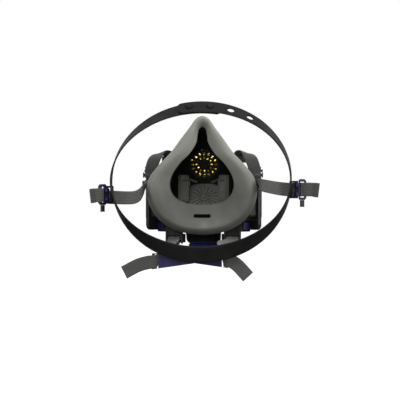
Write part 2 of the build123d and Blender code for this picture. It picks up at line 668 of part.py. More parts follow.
FRONT_STRAP = [
    ((HANGER_X, HANGER_BAR[0] + 0.5, HANGER_BAR[1] + 2.6), (1, 0, 0)),
    ((37.0, -38, 22.4), (1, 0, -0.1)),
    ((40.0, -29, 23.8), (0.95, 0, -0.3)),
    ((44.5, -20, 22.5), (0.9, 0.1, -0.35)),
    ((49.0, -14.6, 16.5), (0.95, 0, -0.25)),
    ((52.0, -14.2, 8.5), (1, 0, 0)),
    ((GUIDE_X - 0.3, GUIDE_UPPER[0] + 2.4, GUIDE_UPPER[1] + 1.0), (1, 0, 0)),
]
LOWER_LEFT = [
    ((LOWER_X, LOWER_BAR[0] + 2.0, LOWER_BAR[1] - 0.5), (1, 0, 0)),
    ((30.5, -18, -67.5), (1, 0, -0.1)),
    ((33.0, 4, -71.5), (0.9, 0, -0.45)),
    ((36.5, 28, -76.0), (0.35, 0, -0.93)),
    ((38.6, 48, -79.3), (0, 0, -1)),
    ((39.1, 56, -81.0), (0, 0, -1)),
    ((39.1, 64.4, -82.0), (0, 0, -1)),
]
LOWER_RIGHT = [
    ((LOWER_X, LOWER_BAR[0] + 2.0, LOWER_BAR[1] - 0.5), (1, 0, 0)),
    ((28.0, -18, -67.0), (1, 0, -0.1)),
    ((22.0, 2, -68.5), (0.92, 0, -0.4)),
    ((20.0, 28, -73.5), (0.5, 0, -0.86)),
    ((22.4, 48, -77.4), (0, 0, -1)),
    ((23.4, 56, -79.4), (0, 0, -1)),
    ((23.5, 64.4, -80.4), (0, 0, -1)),
]
# The tails start inside the clasp's windows, where the neck straps end.
TAIL_LEFT = [
    ((39.1, 65.2, -82.0), (0, 0, -1)),
    ((39.5, 68.2, -82.1), (0, 0, -1)),
    ((42.0, 69.9, -82.3), (0, 0, -1)),
    ((47.0, 69.9, -82.9), (0.08, 0, -1)),
    ((56.0, 69.0, -85.6), (0.2, 0, -1)),
    ((69.0, 68.0, -92.4), (0.1, 0, -1)),
]
TAIL_RIGHT = [
    ((23.5, 65.2, -80.4), (0, 0, -1)),
    ((23.9, 68.2, -80.4), (0, 0, -1)),
    ((26.2, 69.9, -80.5), (-0.05, 0, -1)),
    ((31.0, 69.9, -81.6), (-0.25, 0, -1)),
    ((37.0, 70.0, -86.0), (-0.5, 0, -0.9)),
    ((46.0, 71.0, -95.7), (0.0, 0, -1)),
]


def rear_strap(stations):
    sleeve = x_sleeve(GUIDE_X, *GUIDE_PIVOT)
    cut = x_bar(GUIDE_X - 8, GUIDE_X + 8, *GUIDE_PIVOT, radius=BAR_R + SLEEVE_GAP)
    return (ribbon(stations, spacing=2.0) - cut) + sleeve


def front_strap():
    """The strap that arches from the yoke's hanger down to the side guide."""
    whole = ribbon(FRONT_STRAP)
    for x, (y, z) in ((HANGER_X, HANGER_BAR), (GUIDE_X - 0.3, GUIDE_UPPER)):
        whole -= x_bar(x - 8, x + 8, y, z, radius=BAR_R + SLEEVE_GAP)
    for x, (y, z) in ((HANGER_X, HANGER_BAR), (GUIDE_X - 0.3, GUIDE_UPPER)):
        whole += x_sleeve(x, y, z)
    return whole


def lower_strap(stations):
    sleeve = x_sleeve(LOWER_X, *LOWER_BAR)
    cut = x_bar(LOWER_X - 8, LOWER_X + 8, *LOWER_BAR, radius=BAR_R + SLEEVE_GAP)
    return (ribbon(stations) - cut) + sleeve


# ---------------------------------------------------------------- neck clasp
def clasp_half(x_end, x_waist, z_end, z_waist):
    """A tapered plate from its strap end to the waist where the two halves hook."""
    sign = 1 if x_end > x_waist else -1
    points = [
        (x_end, z_end + 7.4), (x_waist, z_waist + 4.6),
        (x_waist, z_waist - 4.6), (x_end, z_end - 7.4),
    ]
    face = Plane.XZ * make_face(Polyline(*points, close=True))
    body = Pos(0, CLASP_Y + CLASP_THICK / 2, 0) * extrude(face, CLASP_THICK / 2, both=True)
    window_x = x_end - sign * 4.0
    window = Pos(window_x, CLASP_Y + 2, z_end) * Box(3.6, 12, 13.2)
    return body - window


CLASP_WAIST = (3.3, -79.0)


def neck_clasp():
    """The hook half and the eye half."""
    x, z = CLASP_WAIST
    hook = clasp_half(43.0, x + 0.2, -82.0, z)
    eye = clasp_half(-27.5, x - 0.2, -80.5, z)
    tongue = Pos(x - 5.5, CLASP_Y + CLASP_THICK / 2, z) * rounded_box(13, 1.6, 5.2, 0.7)
    pocket = Pos(x - 6.5, CLASP_Y + CLASP_THICK / 2, z) * Box(16, 2.2, 6.0)
    return hook + tongue, eye - pocket


# ---------------------------------------------------------------- write everything
def main():
    os.makedirs("parts", exist_ok=True)
    save("face_seal", face_seal())
    save("front_body", front_body())
    save("diaphragm_grille", diaphragm_grille())
    save("diaphragm_film", diaphragm_film())
    save("diaphragm_retainer", diaphragm_retainer())
    save("diaphragm_cover", diaphragm_cover())
    save("exhalation_seat", exhalation_seat())
    save("exhalation_flap", exhalation_flap())
    save("valve_cover", valve_cover())
    save("cover_tab", cover_tab())
    save("strap_yoke", strap_yoke())
    pairs = {
        "port_plate": port_plate(),
        "port_gasket": port_gasket(),
        "port_latch": port_latch(),
        "inhalation_seat": inhalation_seat(),
        "inhalation_flap": inhalation_flap(),
        "side_guide": side_guide(),
        "lower_guide": lower_guide(),
        "front_strap": front_strap(),
    }
    for name, shape in pairs.items():
        save(f"{name}_left", shape)
        save(f"{name}_right", to_right(shape))
    save("head_cradle", head_cradle())
    for name, shape in (("strap_slider", strap_slider()), ("slider_pull", slider_pull())):
        save(f"{name}_left", at_ear(shape, **EAR_LEFT))
        save(f"{name}_right", to_right(at_ear(shape, **EAR_RIGHT)))
    save("rear_strap_left", rear_strap(REAR_LEFT))
    save("rear_strap_right", to_right(rear_strap(REAR_RIGHT)))
    save("lower_strap_left", lower_strap(LOWER_LEFT))
    save("lower_strap_right", to_right(lower_strap(LOWER_RIGHT)))
    save("neck_tail_left", ribbon(TAIL_LEFT, spacing=2.0))
    save("neck_tail_right", to_right(ribbon(TAIL_RIGHT, spacing=2.0)))
    hook, eye = neck_clasp()
    save("neck_clasp_hook", hook)
    save("neck_clasp_eye", eye)


main()
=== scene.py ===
import json
import math

import bpy
from mathutils import Matrix, Vector


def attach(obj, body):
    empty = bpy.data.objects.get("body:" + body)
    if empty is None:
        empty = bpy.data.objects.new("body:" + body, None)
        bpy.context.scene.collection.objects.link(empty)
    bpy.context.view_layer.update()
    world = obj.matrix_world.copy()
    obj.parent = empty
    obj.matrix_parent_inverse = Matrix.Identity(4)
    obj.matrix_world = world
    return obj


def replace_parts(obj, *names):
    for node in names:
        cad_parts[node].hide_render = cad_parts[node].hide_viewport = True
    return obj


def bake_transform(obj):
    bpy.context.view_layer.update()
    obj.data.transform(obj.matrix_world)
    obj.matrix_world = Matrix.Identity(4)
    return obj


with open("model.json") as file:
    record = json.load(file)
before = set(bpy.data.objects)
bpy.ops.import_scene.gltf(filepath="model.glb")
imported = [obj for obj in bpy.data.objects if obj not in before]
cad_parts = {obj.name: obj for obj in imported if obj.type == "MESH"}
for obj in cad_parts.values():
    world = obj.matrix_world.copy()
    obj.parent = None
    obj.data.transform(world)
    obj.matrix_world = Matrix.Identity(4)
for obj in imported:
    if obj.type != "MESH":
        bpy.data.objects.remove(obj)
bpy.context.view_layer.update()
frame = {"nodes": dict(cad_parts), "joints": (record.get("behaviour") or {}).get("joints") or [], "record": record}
nodes = frame["nodes"]
MM = 0.001

# Webbing: width and thickness in millimetres, lengthwise ribs, and the pitch of the cross weave.
WIDTH, THICK, RIBS, WEAVE_PITCH = 12.5, 1.4, 9, 0.9
# Edges that turn more than this many degrees are rounded.
SHARP_ANGLE = 30
# A Mix node's two colour inputs and its colour output.
MIX_UNDER, MIX_OVER, MIX_RESULT = 6, 7, 2
# Heights in metres between which the seal's painted light comes in: a paler tone towards the nose that stands in
# for how the light falls on it.
PAINTED_LIGHT_HEIGHTS = (-0.022, 0.022)


# ---------------------------------------------------------------- small mesh tools
def mesh_object(name, verts, faces, body=None, smooth=True):
    """A mesh from points in millimetres, riding on a CAD body."""
    data = bpy.data.meshes.new(name)
    data.from_pydata([[c * MM for c in v] for v in verts], [], faces)
    data.validate()
    data.polygons.foreach_set("use_smooth", [smooth] * len(data.polygons))
    obj = bpy.data.objects.new(name, data)
    bpy.context.scene.collection.objects.link(obj)
    if body:
        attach(obj, body)
    return obj


def apply_modifiers(obj):
    """Bakes an object's modifiers into its mesh."""
    graph = bpy.context.evaluated_depsgraph_get()
    done = bpy.data.meshes.new_from_object(obj.evaluated_get(graph))
    old = obj.data
    obj.modifiers.clear()
    obj.data = done
    bpy.data.meshes.remove(old)


def cut(obj, tool):
    """Takes the tool's volume out of obj and removes the tool."""
    step = obj.modifiers.new("cut", "BOOLEAN")
    step.operation, step.object, step.solver = "DIFFERENCE", tool, "EXACT"
    apply_modifiers(obj)
    bpy.data.objects.remove(tool)


def bevelled(obj, width, segments=3):
    """Rounds an object's sharp edges."""
    step = obj.modifiers.new("round", "BEVEL")
    step.width, step.segments, step.limit_method = width * MM, segments, "ANGLE"
    step.angle_limit = math.radians(SHARP_ANGLE)
    apply_modifiers(obj)
    obj.data.polygons.foreach_set("use_smooth", [True] * len(obj.data.polygons))
    return obj


def cylinder(name, start, end, radius, count=32):
    """A closed round bar between two points."""
    axis = (Vector(end) - Vector(start)).normalized()
    side = axis.orthogonal().normalized()
    other = axis.cross(side)
    verts = []
    for base in (Vector(start), Vector(end)):
        for i in range(count):
            t = 2 * math.pi * i / count
            verts.append(base + side * radius * math.cos(t) + other * radius * math.sin(t))
    faces = [(i, (i + 1) % count, count + (i + 1) % count, count + i) for i in range(count)]
    faces += [tuple(reversed(range(count))), tuple(range(count, 2 * count))]
    return mesh_object(name, verts, faces, smooth=False)


def block(name, centre, size, turn=None, body=None):
    """A box, turned about its centre."""
    turn = turn or Matrix.Identity(3)
    verts = []
    for x in (-0.5, 0.5):
        for y in (-0.5, 0.5):
            for z in (-0.5, 0.5):
                verts.append(Vector(centre) + turn @ Vector((x * size[0], y * size[1], z * size[2])))
    faces = [(0, 1, 3, 2), (4, 6, 7, 5), (0, 4, 5, 1), (2, 3, 7, 6), (0, 2, 6, 4), (1, 5, 7, 3)]
    return mesh_object(name, verts, faces, body, smooth=False)


def hermite(rows, knots, along, closed=False, span_total=0.0):
    """Smooth values at a distance along a row of equally long lists."""
    n = len(rows)
    last = n if closed else n - 1

    def at(i):
        return rows[i % n]

    def knot(i):
        return knots[i % n] + (i // n) * span_total if closed else knots[i]

    i = 0
    while i < last - 1 and knot(i + 1) <= along:
        i += 1
    span = knot(i + 1) - knot(i)
    t = min(1.0, max(0.0, (along - knot(i)) / span))

    def slope(k):
        lo, hi = (k - 1, k + 1) if closed else (max(k - 1, 0), min(k + 1, n - 1))
        return [(b - a) / (knot(hi) - knot(lo)) for a, b in zip(at(lo), at(hi))]

    h = (2 * t**3 - 3 * t**2 + 1, t**3 - 2 * t**2 + t, -2 * t**3 + 3 * t**2, t**3 - t**2)
    m0, m1 = slope(i), slope(i + 1)
    return [
        a * h[0] + u * h[1] * span + b * h[2] + v * h[3] * span
        for a, b, u, v in zip(at(i), at(i + 1), m0, m1)
    ]


def smooth_path(stations, spacing):
    """Evenly spaced (point, across) along a smooth curve through the stations."""
    rows = [list(p) + list(Vector(a).normalized()) for p, a in stations]
    knots = [0.0]
    for a, b in zip(rows, rows[1:]):
        knots.append(knots[-1] + (Vector(b[:3]) - Vector(a[:3])).length)
    count = max(8, round(knots[-1] / spacing))
    result = []
    for k in range(count + 1):
        v = hermite(rows, knots, knots[-1] * k / count)
        result.append((Vector(v[:3]), Vector(v[3:])))
    return result


def strip(name, stations, width, thick, body=None, spacing=0.8, ribs=0, rib_depth=0.0, lanes=24):
    """A flat band along a path, with rounded edges, lengthwise ribs and UVs in millimetres."""
    path = smooth_path(stations, spacing)
    ring = []
    for side in (1, -1):
        for j in range(lanes + 1):
            u = -1 + 2 * j / lanes
            edge = (1 - abs(u) ** 10) ** 0.5 if abs(u) < 1 else 0.25
            rib = 1 - rib_depth * (0.5 - 0.5 * math.cos(math.pi * ribs * (u + 1)))
            ring.append((u * side * width / 2, side * thick / 2 * max(edge * rib, 0.25)))
    count = len(ring)
    verts, coords = [], []
    travelled = 0.0
    for i, (point, across) in enumerate(path):
        before, after = path[max(i - 1, 0)][0], path[min(i + 1, len(path) - 1)][0]
        tangent = (after - before).normalized()
        across = (across - tangent * across.dot(tangent)).normalized()
        normal = tangent.cross(across)
        if i:
            travelled += (point - path[i - 1][0]).length
        for u, v in ring:
            verts.append(point + across * u + normal * v)
            coords.append((u, travelled))
    faces = []
    for i in range(len(path) - 1):
        for j in range(count):
            k = (j + 1) % count
            faces.append((i * count + j, i * count + k, (i + 1) * count + k, (i + 1) * count + j))
    faces.append(tuple(reversed(range(count))))
    end = (len(path) - 1) * count
    faces.append(tuple(range(end, end + count)))
    obj = mesh_object(name, verts, faces, body)
    layer = obj.data.uv_layers.new(name="along")
    for loop in obj.data.loops:
        layer.data[loop.index].uv = coords[loop.vertex_index]
    return obj


# ---------------------------------------------------------------- materials
def new_material(name):
    material = bpy.data.materials.new(name)
    material.use_nodes = True
    tree = material.node_tree
    tree.nodes.clear()
    out = tree.nodes.new("ShaderNodeOutputMaterial")
    shader = tree.nodes.new("ShaderNodeBsdfPrincipled")
    tree.links.new(shader.outputs[0], out.inputs[0])
    return material, tree, shader


def node(tree, kind, **values):
    made = tree.nodes.new("ShaderNode" + kind)
    for key, value in values.items():
        if key in made.inputs:
            made.inputs[key].default_value = value
        else:
            setattr(made, key.lower(), value)
    return made


def noise(tree, scale, detail):
    """Cloudy 0 to 1 values fixed to the object."""
    place = tree.nodes.new("ShaderNodeTexCoord")
    made = node(tree, "TexNoise", Scale=scale, Detail=detail)
    tree.links.new(place.outputs["Object"], made.inputs["Vector"])
    return made.outputs["Fac"]


def mixed(tree, factor, low, high, sharp=(0.35, 0.65)):
    """Blends two colours by a 0 to 1 value."""
    ramp = tree.nodes.new("ShaderNodeValToRGB")
    ramp.color_ramp.elements[0].position, ramp.color_ramp.elements[1].position = sharp
    ramp.color_ramp.elements[0].color = (*low, 1)
    ramp.color_ramp.elements[1].color = (*high, 1)
    tree.links.new(factor, ramp.inputs[0])
    return ramp.outputs[0]


def tinted(tree, factor, under, over):
    """Lays a plain colour over another by a 0 to 1 value."""
    blend = node(tree, "Mix")
    blend.data_type = "RGBA"
    tree.links.new(factor, blend.inputs["Factor"])
    tree.links.new(under, blend.inputs[MIX_UNDER])
    blend.inputs[MIX_OVER].default_value = (*over, 1)
    return blend.outputs[MIX_RESULT]


def ranged(tree, value, low, high, source=(0.3, 0.7)):
    """Stretches a value from the source range to low and high."""
    made = node(tree, "MapRange")
    made.inputs["From Min"].default_value, made.inputs["From Max"].default_value = source
    made.inputs["To Min"].default_value, made.inputs["To Max"].default_value = low, high
    tree.links.new(value, made.inputs["Value"])
    return made.outputs[0]


def bump(tree, height, strength, distance, under=None):
    made = node(tree, "Bump", Strength=strength, Distance=distance)
    tree.links.new(height, made.inputs["Height"])
    if under is not None:
        tree.links.new(under, made.inputs["Normal"])
    return made.outputs[0]


def moulded(name, low, high, rough, grain=2600, relief=0.00004, edge=0.00035, sheen=0.0, worn=None,
            gloss=0.5, painted_light_by_height=None):
    """Moulded plastic or rubber: cloudy colour, fine grain and softened edges.

    worn is the tone of rubbed edges, and painted_light_by_height a paler tone that comes in with height, which is
    painted light rather than a tone of the material.
    """
    material, tree, shader = new_material(name)
    cloud = noise(tree, 55, 5)
    colour = mixed(tree, cloud, low, high)
    if worn:
        place = tree.nodes.new("ShaderNodeNewGeometry")
        edges = ranged(tree, place.outputs["Pointiness"], 0, 1, (0.52, 0.62))
        colour = tinted(tree, edges, colour, worn)
    # Painted light: a paler tone laid in by height, standing in for light falling on the upper parts.
    if painted_light_by_height:
        spot = tree.nodes.new("ShaderNodeTexCoord")
        height = tree.nodes.new("ShaderNodeSeparateXYZ")
        tree.links.new(spot.outputs["Object"], height.inputs[0])
        colour = tinted(tree, ranged(tree, height.outputs["Z"], 0, 1, PAINTED_LIGHT_HEIGHTS), colour, painted_light_by_height)
    tree.links.new(colour, shader.inputs["Base Color"])
    patch = noise(tree, 140, 6)
    tree.links.new(ranged(tree, patch, rough[0], rough[1]), shader.inputs["Roughness"])
    soft = None
    if edge:
        rounded = node(tree, "Bevel", Radius=edge)
        rounded.samples = 4
        soft = rounded.outputs[0]
    tree.links.new(bump(tree, noise(tree, grain, 2), 0.35, relief, soft), shader.inputs["Normal"])
    shader.inputs["Specular IOR Level"].default_value = gloss
    if sheen:
        shader.inputs["Sheen Weight"].default_value = sheen
        shader.inputs["Sheen Roughness"].default_value = 0.6
    return material


def webbing(name, low, high):
    """Elastic webbing from the band's UVs: lengthwise ribs with painted shade darkening between them, cross weave
    and fibre speckle.
    """
    material, tree, shader = new_material(name)
    place = node(tree, "UVMap")
    split = tree.nodes.new("ShaderNodeSeparateXYZ")
    tree.links.new(place.outputs[0], split.inputs[0])

    def wave(value, period):
        turn = node(tree, "Math", operation="MULTIPLY")
        tree.links.new(value, turn.inputs[0])
        turn.inputs[1].default_value = 2 * math.pi / period
        sine = node(tree, "Math", operation="SINE")
        tree.links.new(turn.outputs[0], sine.inputs[0])
        return ranged(tree, sine.outputs[0], 0, 1, (-1, 1))

    # Painted shade: the colour darkens between the lengthwise ribs, where their valleys would be in shade; the
    # cross weave is the webbing's own pattern.
    across = wave(split.outputs[0], WIDTH / RIBS)
    along = wave(split.outputs[1], WEAVE_PITCH)
    rib_shade_and_weave = node(tree, "Math", operation="MULTIPLY")
    tree.links.new(across, rib_shade_and_weave.inputs[0])
    tree.links.new(along, rib_shade_and_weave.inputs[1])
    speckle = noise(tree, 3200, 3)
    total = node(tree, "Math", operation="ADD")
    tree.links.new(rib_shade_and_weave.outputs[0], total.inputs[0])
    tree.links.new(speckle, total.inputs[1])
    tree.links.new(mixed(tree, total.outputs[0], low, high, (0.25, 1.1)), shader.inputs["Base Color"])
    shader.inputs["Roughness"].default_value = 0.82
    shader.inputs["Sheen Weight"].default_value = 0.25
    shader.inputs["Sheen Roughness"].default_value = 0.5
    tree.links.new(bump(tree, total.outputs[0], 0.6, 0.00015), shader.inputs["Normal"])
    return material


def film(name):
    """Thin gold film, crumpled, that glows in patches: a painted glow standing in for daylight coming through it.
    """
    material, tree, shader = new_material(name)
    cloud = noise(tree, 430, 4)
    tree.links.new(mixed(tree, cloud, (0.16, 0.09, 0.004), (0.95, 0.66, 0.02), (0.44, 0.58)),
                   shader.inputs["Base Color"])
    # Painted light: emission in patches that stands in for light shining through the film.
    painted_glow = ranged(tree, noise(tree, 620, 2), 0.0, 2.4, (0.56, 0.66))
    shader.inputs["Emission Color"].default_value = (1.0, 0.80, 0.16, 1)
    tree.links.new(painted_glow, shader.inputs["Emission Strength"])
    shader.inputs["Metallic"].default_value = 0.45
    shader.inputs["Roughness"].default_value = 0.3
    tree.links.new(bump(tree, noise(tree, 420, 2), 0.8, 0.0005), shader.inputs["Normal"])
    return material


# The seal is painted paler towards the nose: painted light standing in for how the light falls, not a tone of the
# silicone.
SEAL = moulded("seal_silicone", (0.066, 0.067, 0.058), (0.084, 0.085, 0.075), (0.46, 0.60),
               grain=1900, relief=0.00003, edge=0, sheen=0.06, painted_light_by_height=(0.215, 0.218, 0.188))
FLAP = moulded("valve_silicone", (0.10, 0.10, 0.088), (0.14, 0.14, 0.125), (0.4, 0.55), edge=0.0002)
BLACK = moulded("black_nylon", (0.0030, 0.0030, 0.0026), (0.0075, 0.0075, 0.0068), (0.40, 0.56),
                worn=(0.014, 0.014, 0.013), gloss=0.28)
# The bowl trim's lighter grey is a painted highlight, standing in for glossy streaks along the black bowl's curved
# edges.
HIGHLIGHT_TRIM = moulded("bowl_trim_painted_highlight", (0.030, 0.030, 0.027), (0.10, 0.10, 0.092), (0.22, 0.4))
GREY = moulded("grey_nylon", (0.085, 0.085, 0.076), (0.115, 0.115, 0.104), (0.4, 0.55), gloss=0.4)
BAND = moulded("charcoal_band", (0.0060, 0.0060, 0.0058), (0.0105, 0.0105, 0.0100), (0.54, 0.66),
               grain=1500, edge=0, gloss=0.16)
VIOLET = moulded("violet_nylon", (0.006, 0.005, 0.046), (0.011, 0.009, 0.070), (0.38, 0.52), gloss=0.25)
GASKET = moulded("violet_rubber", (0.006, 0.005, 0.036), (0.010, 0.008, 0.052), (0.5, 0.65), gloss=0.25)
GOLD = film("gold_film")
WEB = webbing("grey_webbing", (0.017, 0.017, 0.015), (0.060, 0.060, 0.055))
# The hems use a darker copy of the webbing: painted shade standing in for the shadow where the strap is folded.
SHADED_HEM_WEB = webbing("grey_webbing_hem_painted_shade", (0.010, 0.010, 0.009), (0.038, 0.038, 0.035))

SLOTS = {
    "seal_silicone": SEAL, "valve_silicone": FLAP, "black_nylon": BLACK, "grey_nylon": GREY,
    "charcoal_band": BAND, "violet_nylon": VIOLET, "violet_rubber": GASKET, "gold_film": GOLD,
    "grey_webbing": WEB,
}


def paint(obj, material):
    """Gives obj its material."""
    obj.data.materials.clear()
    obj.data.materials.append(material)
    return obj


for part in frame["record"]["subparts"]:
    paint(nodes[part["node"]], SLOTS[part["material_slot"]])


# ---------------------------------------------------------------- face seal
# Left half from nose to chin: rim x, z, y; opening x, z; root x, z; radius of the rolled rim.
SEAL_ROOT_Y = -26.0
SEAL_STATIONS = [
    (0.0, 59.5, -1.0, 0.0, 48.5, 0.0, 51.5, 3.5),
    (6.5, 56.5, -0.5, 3.2, 46.5, 5.4, 50.0, 3.5),
    (12.5, 48.0, 1.0, 4.6, 41.0, 10.2, 44.0, 4.0),
    (21.0, 36.5, 4.0, 6.0, 32.5, 16.0, 35.5, 4.5),
    (31.0, 22.5, 8.0, 12.5, 21.5, 23.5, 25.0, 5.0),
    (42.5, 10.0, 11.5, 22.5, 11.0, 31.5, 13.0, 5.5),
    (52.0, -3.0, 13.5, 29.5, 0.0, 37.0, 0.0, 6.5),
    (55.0, -17.0, 14.0, 31.8, -9.5, 39.0, -14.0, 7.5),
    (51.0, -32.5, 12.0, 29.5, -18.5, 37.0, -27.5, 8.5),
    (40.5, -47.0, 8.0, 23.0, -25.0, 30.5, -39.0, 9.0),
    (23.0, -56.5, 4.0, 12.5, -28.6, 17.5, -46.5, 9.0),
    (0.0, -60.0, 2.0, 0.0, -29.4, 0.0, -49.0, 9.0),
]
LIP_DROP, WALL, ROOT_EXTRA, WAIST = 11.0, 2.2, 0.5, 2.0
# The lip drops by DROP_SHARE of LIP_DROP where rim to opening is SHORT_REACH or less, and by all of
# it where that is REACH_SPAN longer.
DROP_SHARE, SHORT_REACH, REACH_SPAN = 0.6, 11, 12
# The flange's face towards the wearer, from opening to rim: share of its width, share of its drop.
FLANGE_CURVE = [(0.84, 0.78), (0.62, 0.51), (0.40, 0.27), (0.18, 0.09)]
CHIN_SLOT_PLACE, CHIN_SLOT_SIZE = (0, -4, -41), (17, 34, 3.6)


def seal_profile(rx, rz, ry, ox, oz, fx, fz, roll):
    """The seal's closed profile at one station, from the opening over the rim to the root and back."""
    rim, hole = Vector((rx, ry, rz)), Vector((ox, ry, oz))
    inward = (hole - rim).normalized()
    reach = (hole - rim).length
    root = Vector((fx, SEAL_ROOT_Y, fz))
    up = Vector((0, 1, 0))

    def at(u, v):
        return rim + inward * u + up * v

    d = roll * (1 - math.cos(math.pi / 4))
    knee = at(0, -roll)
    flange = reach - roll
    grown = min(1.0, max(0.0, (reach - SHORT_REACH) / REACH_SPAN))
    lip_drop = LIP_DROP * (DROP_SHARE + (1 - DROP_SHARE) * grown)
    waist = knee + (root - knee) * 0.45 + inward * WAIST
    face = [at(roll + flange * u, -lip_drop * v) for u, v in FLANGE_CURVE]
    return [
        at(reach, -lip_drop),
        *face,
        at(roll * 1.02, -0.25),
        at(roll * 0.62, 0.05),
        at(d, -d * 0.9),
        knee,
        waist,
        root,
        root + inward * (WALL + ROOT_EXTRA),
        waist + inward * WALL,
        knee + inward * WALL - up * 0.5,
        at(d + WALL * 0.7, -d - WALL * 0.7),
        at(roll, -WALL),
        at(roll + flange * 0.28, -lip_drop * 0.16 - WALL),
        at(roll + flange * 0.62, -lip_drop * 0.51 - WALL * 0.85),
        at(reach - 0.3, -lip_drop - 1.0),
    ]


def closed_row(rows, count):
    """Resamples a closed row of lists evenly by its own length."""
    knots = [0.0]
    for a, b in zip(rows, rows[1:] + rows[:1]):
        knots.append(knots[-1] + math.dist(a[:3], b[:3]))
    total = knots.pop()
    return [hermite(rows, knots, total * k / count, True, total) for k in range(count)]


def build_seal():
    """The seal's skin, both halves, with the slot cut through its chin."""
    half = [list(s) for s in SEAL_STATIONS]
    other = [[-s[0], s[1], s[2], -s[3], s[4], -s[5], s[6], s[7]] for s in half[-2:0:-1]]
    around, section = 208, 96
    stations = closed_row(half + other, around)
    verts = []
    for station in stations:
        points = seal_profile(*station)
        rows = [list(p) for p in points]
        verts += closed_row(rows, section)
    faces = []
    for i in range(around):
        k = (i + 1) % around
        for j in range(section):
            m = (j + 1) % section
            faces.append((i * section + j, k * section + j, k * section + m, i * section + m))
    seal = mesh_object("seal_skin", verts, faces)
    slot = block("slot_tool", CHIN_SLOT_PLACE, CHIN_SLOT_SIZE)
    bevelled(slot, 1.6, 4)
    cut(seal, slot)
    seal.data.polygons.foreach_set("use_smooth", [True] * len(seal.data.polygons))
    paint(seal, SEAL)
    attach(seal, "mask")
    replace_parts(seal, "face_seal")


build_seal()

# ---------------------------------------------------------------- trim inside the bowl, its brow a painted highlight
# Brow ribs: thin strips whose lighter grey is a painted highlight along the black bowl's curved edges.
BROW = [
    ((25.5, -41.5, 0.8), (0, 0.5, 0.86)), ((20.0, -44.5, -1.6), (0, 0.5, 0.86)),
    ((13.5, -47.5, -4.2), (0, 0.5, 0.86)), ((7.5, -49.5, -6.4), (0, 0.5, 0.86)),
]
ARM = [
    ((20.5, -41.5, -1.5), (0.3, 0.9, 0)), ((17.2, -42.5, -3.2), (0.3, 0.9, 0)),
    ((15.6, -43, -6.6), (0.3, 0.9, 0)), ((15.8, -43, -9.8), (0.3, 0.9, 0)),
    ((18.2, -42.5, -12.2), (0.3, 0.9, 0)),
]
LOWER_WEB_PLACE, LOWER_WEB_SIZE = (28.7, -32.8, -64.5), (20.0, 1.4, 9.0)


def build_trim():
    """The brow, its lighter grey a painted highlight on the bowl's edges, the curved arms beside the outlet, and
    the lower guides' back webs.
    """
    for label, sign in (("left", 1), ("right", -1)):
        for kind, rows, width, thick, material in (
            ("brow", BROW, 2.6, 1.3, HIGHLIGHT_TRIM), ("arm", ARM, 2.0, 1.5, FLAP),
        ):
            stations = [((sign * p[0], p[1], p[2]), (sign * a[0], a[1], a[2])) for p, a in rows]
            rib = strip(f"bowl_{kind}_{label}", stations, width, thick, "mask", spacing=0.5)
            paint(rib, material)
        x, y, z = LOWER_WEB_PLACE
        web = block(f"lower_web_{label}", (sign * x, y, z), LOWER_WEB_SIZE, body="mask")
        paint(bevelled(web, 0.4, 2), BLACK)


build_trim()

# ---------------------------------------------------------------- straps
# Places of the harness swing and neck strap swing in the frame's list of joints.
HARNESS_SWING, NECK_SWING = 0, 3
PIVOT = [c / MM for c in frame["joints"][HARNESS_SWING]["pos_m"]][1:]
LOWER_BAR = [c / MM for c in frame["joints"][NECK_SWING]["pos_m"]][1:]
GUIDE_X, LOWER_X, HANGER_X = 53.2, 30.0, 35.8
UPPER_BAR, HANGER_BAR = (-18.5, 0.5), (-46.0, 18.0)
EAR_LEFT, EAR_RIGHT = ((79.3, 74.0, -20.0), 43.0), ((84.7, 74.0, -15.5), 8.0)
LEVEL, UPRIGHT = (1, 0, 0), (0, 0, -1)
# Radius of a strap's middle line round a bar, and the degrees between which the rear and neck
# straps turn round theirs.
LOOP, TUCKED, LEAVING = 2.75, -85, -300
HEM_LENGTH = 5.0


def ear_point(which, u, v, drop=0.0):
    """A point by an ear of the cradle: u outwards, v across that towards +Y, drop downwards."""
    (x, y, z), turn = which
    a = math.radians(turn)
    return (x + u * math.cos(a) - v * math.sin(a), y + u * math.sin(a) + v * math.cos(a), z - drop)


def loop_round(x, bar, start, end, steps=9):
    """Stations round a bar along X; angles are from +Y towards +Z."""
    result = []
    for i in range(steps + 1):
        t = math.radians(start + (end - start) * i / steps)
        result.append(((x, bar[0] + LOOP * math.cos(t), bar[1] + LOOP * math.sin(t)), LEVEL))
    return result


def under(x, bar, *points):
    """Stations given by their y and z from a bar."""
    return [((x, bar[0] + y, bar[1] + z), LEVEL) for y, z in points]


THREADING = [(7.0, -3.4), (9.6, -2.6), (10.5, 0.0), (11.4, 2.6), (14.0, 3.6), (18.5, 4.0)]
rear_start = (
    under(GUIDE_X, PIVOT, (7.5, -4.6), (4.5, -3.6)) + loop_round(GUIDE_X, PIVOT, TUCKED, LEAVING)
)
lower_start = (
    under(LOWER_X, LOWER_BAR, (9.0, -3.9), (4.5, -3.2)) + loop_round(LOWER_X, LOWER_BAR, TUCKED, LEAVING)
)
rear_left = (
    rear_start
    + [
        ((54.8, -6.0, -8.6), (0.85, 0, -0.5)),
        ((57.0, 1, -12.6), (0.4, 0, -0.92)),
        ((59.0, 9, -16.5), (0.1, 0, -1)),
        ((60.5, 19, -20.0), UPRIGHT),
        ((63.5, 36, -22.5), UPRIGHT),
        ((69.0, 53, -23.0), UPRIGHT),
        (ear_point(EAR_LEFT, -5.0, -4.4, 2.6), UPRIGHT),
        (ear_point(EAR_LEFT, 2.0, -4.4, 2.2), UPRIGHT),
    ]
    + [(ear_point(EAR_LEFT, u, v, 0.6), UPRIGHT) for u, v in THREADING]
    + [(ear_point(EAR_LEFT, 26.0, 3.8, 1.5), UPRIGHT)]
)
